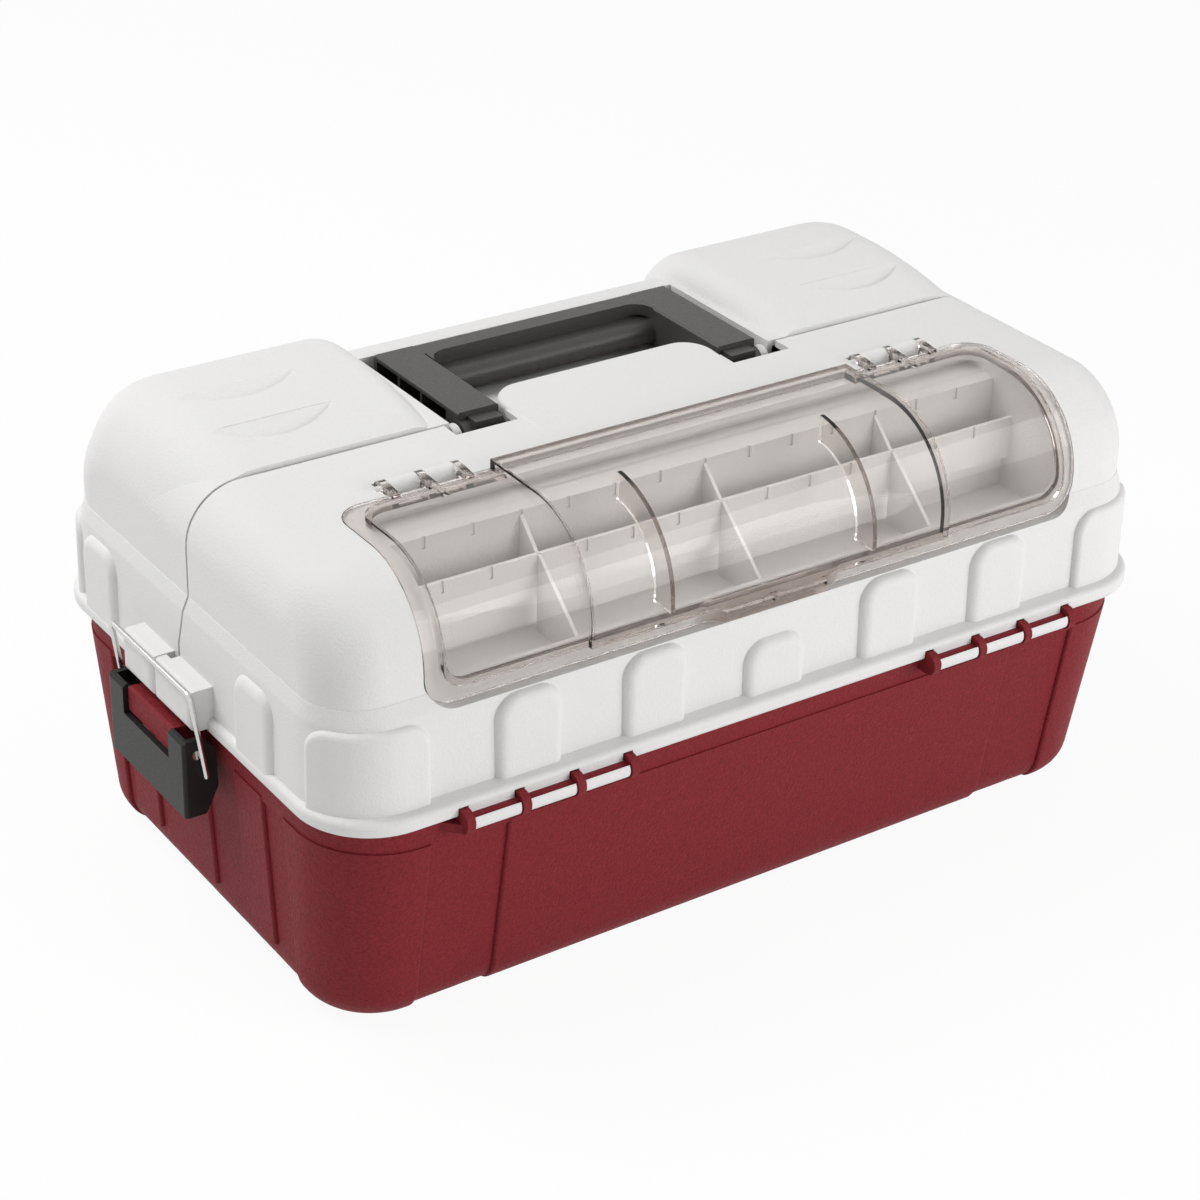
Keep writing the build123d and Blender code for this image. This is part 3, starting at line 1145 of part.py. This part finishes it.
def main():
    os.makedirs("parts", exist_ok=True)
    save(make_base_tub(), "base_tub")
    save(make_front_cover(), "front_cover")
    save(make_rear_cover(), "rear_cover")
    save(make_window_lid(), "window_lid")
    save(make_bin_tray(), "bin_tray")
    save(make_bin_dividers(), "bin_dividers")
    save(make_handle(), "handle")
    save(make_handle_pins(), "handle_pins")
    latch_pieces = (
        ("latch_lever", make_latch_lever()),
        ("latch_pin", make_latch_pin()),
        ("latch_bail", make_latch_bail()),
    )
    for name, shape in latch_pieces:
        save(shape, "right_" + name)
        save(mirror_x(shape), "left_" + name)
    tray_pieces = (
        ("tray", make_tray()),
        ("tray_dividers", make_tray_dividers()),
        ("tray_pivots", make_tray_pivots()),
        ("link_anchors", make_link_anchors()),
        ("link_rivets", make_link_rivets()),
    )
    link = make_link()
    for name, shape in tray_pieces:
        save(shape, "front_" + name)
        save(mirror_y(shape), "rear_" + name)
    save(link, "front_right_link")
    save(mirror_x(link), "front_left_link")
    save(mirror_y(link), "rear_right_link")
    save(mirror_x(mirror_y(link)), "rear_left_link")


main()
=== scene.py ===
import json
import math

import bpy
from mathutils import Matrix, Vector

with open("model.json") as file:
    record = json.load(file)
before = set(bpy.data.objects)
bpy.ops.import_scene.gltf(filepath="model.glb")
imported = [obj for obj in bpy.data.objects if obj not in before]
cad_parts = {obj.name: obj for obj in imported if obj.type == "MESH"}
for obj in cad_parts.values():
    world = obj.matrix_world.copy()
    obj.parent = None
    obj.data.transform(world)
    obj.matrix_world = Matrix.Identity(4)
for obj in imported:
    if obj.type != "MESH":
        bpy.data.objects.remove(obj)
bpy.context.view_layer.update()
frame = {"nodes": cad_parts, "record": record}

# Camera, fitted to the photograph's straight edges
CAMERA_LENS = 86.35
CAMERA_SENSOR = 36.0
CAMERA_YAW = -0.61103
CAMERA_PITCH = 0.5043
CAMERA_ROLL = -0.03206
CAMERA_TARGET = Vector((-0.001687, 0.003117, 0.090617))
CAMERA_DISTANCE = 1.25386

# Colours as linear values
RED = (0.252, 0.0245, 0.0315)
RED_DIM = (0.156, 0.0148, 0.0190)
WHITE = (0.790, 0.785, 0.775)
WHITE_DIM = (0.765, 0.760, 0.748)
# Painted shade: the tray's white is darkened to grey to stand in for the shade inside the bins
TRAY_SHADED_WHITE = (0.640, 0.630, 0.615)
TRAY_SHADED_DIM = (0.605, 0.595, 0.580)
BLACK = (0.052, 0.048, 0.045)
BLACK_DIM = (0.034, 0.031, 0.029)
# Painted shade: the levers' black is a darker copy of the black plastic, standing in for the shade on
# their sides
LEVER_SHADED_BLACK = (0.022, 0.020, 0.019)
LEVER_SHADED_BLACK_DIM = (0.014, 0.013, 0.012)
STEEL = (0.66, 0.65, 0.64)
STEEL_DIM = (0.59, 0.58, 0.57)
SMOKE = (0.24, 0.085, 0.0)
SMOKE_DENSITY = 76.0
FLOOR_COLOUR = (0.90, 0.90, 0.90)
PURE_WHITE = (1, 1, 1, 1)

# Plastic grain: share of the noise that takes part, swing of the roughness, strength of the bump
GRAIN_LOW = 0.3
GRAIN_HIGH = 0.7
ROUGHNESS_SWING = 0.06
GRAIN_STRENGTH = 0.9
SPECKLE_SCALE = 0.9

# Steel wire
STEEL_GRAIN = 900.0
STEEL_SMOOTH = 0.16
STEEL_ROUGH = 0.24

# Clear lid
LID_BENDING = 1.30
LID_ROUGHNESS = 0.02
RIPPLE_SCALE = 22.0
RIPPLE_STRENGTH = 0.12
RIPPLE_HEIGHT = 0.0006

# Light
WORLD_STRENGTH = 0.30
KEY_PLACE = (1.1, -1.3, 0.9)
KEY_AIM = (0, 0, 0.08)
KEY_SIZE = 1.0
KEY_POWER = 8.0
BACK_PLACE = (-0.8, 0.7, 1.5)
BACK_AIM = (0, 0, 0.1)
BACK_SIZE = 1.2
BACK_POWER = 22.5
FRONT_PLACE = (0.6, -1.6, 0.5)
FRONT_AIM = (0, 0, 0.1)
FRONT_SIZE = 1.0
FRONT_POWER = 10.5

# Floor
FLOOR_HALF = 3.0
FLOOR_ROUGHNESS = 0.9
FLOOR_GLOW = 0.93


def new_material(name):
    material = bpy.data.materials.new(name)
    material.use_nodes = True
    nodes = material.node_tree.nodes
    shader = nodes.get("Principled BSDF")
    return material, nodes, material.node_tree.links, shader


def grained_plastic(name, colour, dim, roughness, gloss, grain_size, grain_height):
    """Moulded plastic: a fine eroded grain that roughens the gloss, and a speckle of tone."""
    material, nodes, links, shader = new_material(name)
    shader.inputs["Specular IOR Level"].default_value = gloss
    place = nodes.new("ShaderNodeTexCoord")
    tone = nodes.new("ShaderNodeTexNoise")
    tone.inputs["Scale"].default_value = SPECKLE_SCALE / grain_size
    tone.inputs["Detail"].default_value = 5.0
    tone.inputs["Roughness"].default_value = 0.7
    links.new(place.outputs["Object"], tone.inputs["Vector"])
    ramp = nodes.new("ShaderNodeValToRGB")
    ramp.color_ramp.elements[0].position = GRAIN_LOW
    ramp.color_ramp.elements[0].color = (*dim, 1)
    ramp.color_ramp.elements[1].position = GRAIN_HIGH
    ramp.color_ramp.elements[1].color = (*colour, 1)
    links.new(tone.outputs["Fac"], ramp.inputs["Fac"])
    links.new(ramp.outputs["Color"], shader.inputs["Base Color"])
    grain = nodes.new("ShaderNodeTexNoise")
    grain.inputs["Scale"].default_value = 1.0 / grain_size
    grain.inputs["Detail"].default_value = 3.0
    links.new(place.outputs["Object"], grain.inputs["Vector"])
    rough = nodes.new("ShaderNodeMapRange")
    rough.inputs["From Min"].default_value = GRAIN_LOW
    rough.inputs["From Max"].default_value = GRAIN_HIGH
    rough.inputs["To Min"].default_value = roughness - ROUGHNESS_SWING
    rough.inputs["To Max"].default_value = roughness + ROUGHNESS_SWING
    links.new(grain.outputs["Fac"], rough.inputs["Value"])
    links.new(rough.outputs["Result"], shader.inputs["Roughness"])
    bump = nodes.new("ShaderNodeBump")
    bump.inputs["Strength"].default_value = GRAIN_STRENGTH
    bump.inputs["Distance"].default_value = grain_height
    links.new(grain.outputs["Fac"], bump.inputs["Height"])
    links.new(bump.outputs["Normal"], shader.inputs["Normal"])
    return material


def steel_wire(name):
    """Bright wire with a fine unevenness of tone and gloss."""
    material, nodes, links, shader = new_material(name)
    place = nodes.new("ShaderNodeTexCoord")
    grain = nodes.new("ShaderNodeTexNoise")
    grain.inputs["Scale"].default_value = STEEL_GRAIN
    grain.inputs["Detail"].default_value = 4.0
    links.new(place.outputs["Object"], grain.inputs["Vector"])
    ramp = nodes.new("ShaderNodeValToRGB")
    ramp.color_ramp.elements[0].color = (*STEEL_DIM, 1)
    ramp.color_ramp.elements[1].color = (*STEEL, 1)
    links.new(grain.outputs["Fac"], ramp.inputs["Fac"])
    links.new(ramp.outputs["Color"], shader.inputs["Base Color"])
    shader.inputs["Metallic"].default_value = 1.0
    rough = nodes.new("ShaderNodeMapRange")
    rough.inputs["To Min"].default_value = STEEL_SMOOTH
    rough.inputs["To Max"].default_value = STEEL_ROUGH
    links.new(grain.outputs["Fac"], rough.inputs["Value"])
    links.new(rough.outputs["Result"], shader.inputs["Roughness"])
    return material


def smoky_clear(name):
    """Clear plastic, smoked through its thickness so that edges and ribs look dark, with faint ripples."""
    material, nodes, links, shader = new_material(name)
    shader.inputs["Base Color"].default_value = PURE_WHITE
    shader.inputs["Transmission Weight"].default_value = 1.0
    shader.inputs["IOR"].default_value = LID_BENDING
    shader.inputs["Roughness"].default_value = LID_ROUGHNESS
    place = nodes.new("ShaderNodeTexCoord")
    ripple = nodes.new("ShaderNodeTexNoise")
    ripple.inputs["Scale"].default_value = RIPPLE_SCALE
    ripple.inputs["Detail"].default_value = 1.0
    links.new(place.outputs["Object"], ripple.inputs["Vector"])
    bump = nodes.new("ShaderNodeBump")
    bump.inputs["Strength"].default_value = RIPPLE_STRENGTH
    bump.inputs["Distance"].default_value = RIPPLE_HEIGHT
    links.new(ripple.outputs["Fac"], bump.inputs["Height"])
    links.new(bump.outputs["Normal"], shader.inputs["Normal"])
    smoke = nodes.new("ShaderNodeVolumeAbsorption")
    smoke.inputs["Color"].default_value = (*SMOKE, 1)
    smoke.inputs["Density"].default_value = SMOKE_DENSITY
    links.new(smoke.outputs["Volume"], nodes.get("Material Output").inputs["Volume"])
    return material


# Each plastic: name, colour, dim colour, roughness, gloss, and size and height of its grain in metres
MATERIALS = {
    "red": grained_plastic("red_plastic", RED, RED_DIM, 0.58, 0.12, 0.0012, 0.00045),
    "white": grained_plastic("white_plastic", WHITE, WHITE_DIM, 0.55, 0.35, 0.0010, 0.00022),
    # Painted shade: the tray plastic is a greyed white that paints the shade inside the bins
    "tray": grained_plastic("tray_shaded_plastic", TRAY_SHADED_WHITE, TRAY_SHADED_DIM, 0.55, 0.20, 0.0020, 0.00001),
    "black": grained_plastic("black_plastic", BLACK, BLACK_DIM, 0.42, 0.45, 0.0008, 0.00018),
    # Painted shade: the levers use a darker copy of the black plastic in place of the shade that falls on
    # them
    "lever": grained_plastic("lever_shaded_plastic", LEVER_SHADED_BLACK, LEVER_SHADED_BLACK_DIM, 0.38, 0.18, 0.0007, 0.00006),
    "steel": steel_wire("steel_wire"),
    "smoke": smoky_clear("smoky_clear"),
}


def dress_nodes():
    """Gives every CAD node the material of its slot; the levers get a darker copy of the black plastic,
    which paints the shade that falls on them.
    """
    for entry in frame["record"]["subparts"]:
        node = frame["nodes"][entry["node"]]
        finish = "lever" if entry["node"].endswith("_lever") else entry["material_slot"]
        node.data.materials.clear()
        node.data.materials.append(MATERIALS[finish])


def area_light(name, place, aim, size, power):
    data = bpy.data.lights.new(name, "AREA")
    data.energy = power
    data.size = size
    light = bpy.data.objects.new(name, data)
    light.location = place
    light.rotation_euler = (Vector(aim) - Vector(place)).to_track_quat("-Z", "Y").to_euler()
    bpy.context.scene.collection.objects.link(light)


def make_lights():
    area_light("key", KEY_PLACE, KEY_AIM, KEY_SIZE, KEY_POWER)
    area_light("back", BACK_PLACE, BACK_AIM, BACK_SIZE, BACK_POWER)
    area_light("front", FRONT_PLACE, FRONT_AIM, FRONT_SIZE, FRONT_POWER)


def seen_directly(nodes, links):
    """A socket that is 1 for camera, glossy and transmission rays, and 0 for the rest."""
    path = nodes.new("ShaderNodeLightPath")
    total = path.outputs["Is Camera Ray"]
    for kind in ("Is Glossy Ray", "Is Transmission Ray"):
        either = nodes.new("ShaderNodeMath")
        either.operation = "MAXIMUM"
        links.new(total, either.inputs[0])
        links.new(path.outputs[kind], either.inputs[1])
        total = either.outputs[0]
    return total


def make_world():
    """A dim white world that lights the object, and that looks plain white itself."""
    world = bpy.data.worlds.new("studio")
    bpy.context.scene.world = world
    world.use_nodes = True
    nodes = world.node_tree.nodes
    links = world.node_tree.links
    light = nodes.get("Background")
    light.inputs["Color"].default_value = PURE_WHITE
    light.inputs["Strength"].default_value = WORLD_STRENGTH
    white = nodes.new("ShaderNodeBackground")
    white.inputs["Color"].default_value = PURE_WHITE
    white.inputs["Strength"].default_value = 1.0
    mix = nodes.new("ShaderNodeMixShader")
    links.new(seen_directly(nodes, links), mix.inputs["Fac"])
    links.new(light.outputs[0], mix.inputs[1])
    links.new(white.outputs[0], mix.inputs[2])
    links.new(mix.outputs[0], nodes.get("World Output").inputs["Surface"])


def whiten_floor(nodes, links, shader):
    """Lifts the floor towards white where the camera, gloss or clear plastic sees it; its shadow stays."""
    share = nodes.new("ShaderNodeMath")
    share.operation = "MULTIPLY"
    share.inputs[1].default_value = FLOOR_GLOW
    links.new(seen_directly(nodes, links), share.inputs[0])
    glow = nodes.new("ShaderNodeEmission")
    glow.inputs["Strength"].default_value = 1.0
    mix = nodes.new("ShaderNodeMixShader")
    links.new(share.outputs[0], mix.inputs["Fac"])
    links.new(shader.outputs["BSDF"], mix.inputs[1])
    links.new(glow.outputs[0], mix.inputs[2])
    links.new(mix.outputs[0], nodes.get("Material Output").inputs["Surface"])


def make_floor():
    mesh = bpy.data.meshes.new("floor")
    half = FLOOR_HALF
    corners = [(-half, -half, 0), (half, -half, 0), (half, half, 0), (-half, half, 0)]
    mesh.from_pydata(corners, [], [(0, 1, 2, 3)])
    floor = bpy.data.objects.new("floor", mesh)
    bpy.context.scene.collection.objects.link(floor)
    material, nodes, links, shader = new_material("pale_floor")
    shader.inputs["Base Color"].default_value = (*FLOOR_COLOUR, 1)
    shader.inputs["Roughness"].default_value = FLOOR_ROUGHNESS
    whiten_floor(nodes, links, shader)
    mesh.materials.append(material)


def make_camera():
    """The photograph's view: turned, tilted and rolled about the target."""
    yaw = CAMERA_YAW
    pitch = CAMERA_PITCH
    back = Vector((math.sin(yaw) * math.cos(pitch), -math.cos(yaw) * math.cos(pitch), math.sin(pitch)))
    level = Vector((math.cos(yaw), math.sin(yaw), 0))
    rise = back.cross(level)
    right = math.cos(CAMERA_ROLL) * level - math.sin(CAMERA_ROLL) * rise
    up = math.sin(CAMERA_ROLL) * level + math.cos(CAMERA_ROLL) * rise
    data = bpy.data.cameras.new("camera")
    data.lens = CAMERA_LENS
    data.sensor_width = CAMERA_SENSOR
    camera = bpy.data.objects.new("camera", data)
    turn = Matrix((right, up, back)).transposed().to_4x4()
    camera.matrix_world = Matrix.Translation(CAMERA_TARGET + back * CAMERA_DISTANCE) @ turn
    bpy.context.scene.collection.objects.link(camera)
    bpy.context.scene.camera = camera


dress_nodes()
make_lights()
make_world()
make_floor()
make_camera()
bpy.context.scene.view_settings.view_transform = "Standard"
